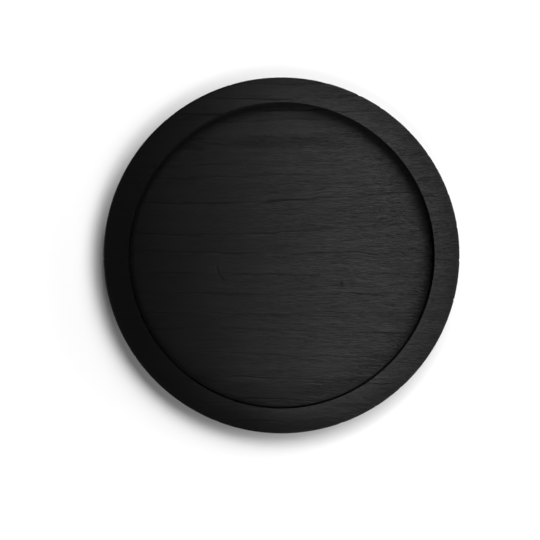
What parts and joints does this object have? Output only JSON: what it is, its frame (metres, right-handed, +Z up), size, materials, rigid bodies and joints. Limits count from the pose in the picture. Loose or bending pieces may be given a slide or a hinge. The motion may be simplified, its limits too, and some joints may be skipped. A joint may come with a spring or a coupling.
{
  "type": "serving tray",
  "caption": "Round black-stained wooden serving tray with a shallow flat recess inside a broad rim that falls gently outwards.",
  "frame": {"origin": "centre of the underside, on the surface that the tray stands on", "axes": "+Z up through the centre of the disc, out of the recess; +X along the staves and the grain; +Y across the staves, towards the back"},
  "size_m": [0.3, 0.3, 0.02],
  "materials": {
    "stained_wood": "open-pored light wood stained black, satin, with the grain showing"
  },
  "bodies": {
    "root": {"stave_front": "stained_wood", "stave_2": "stained_wood", "stave_3": "stained_wood", "stave_4": "stained_wood", "stave_5": "stained_wood", "stave_back": "stained_wood"}
  },
  "joints": []
}
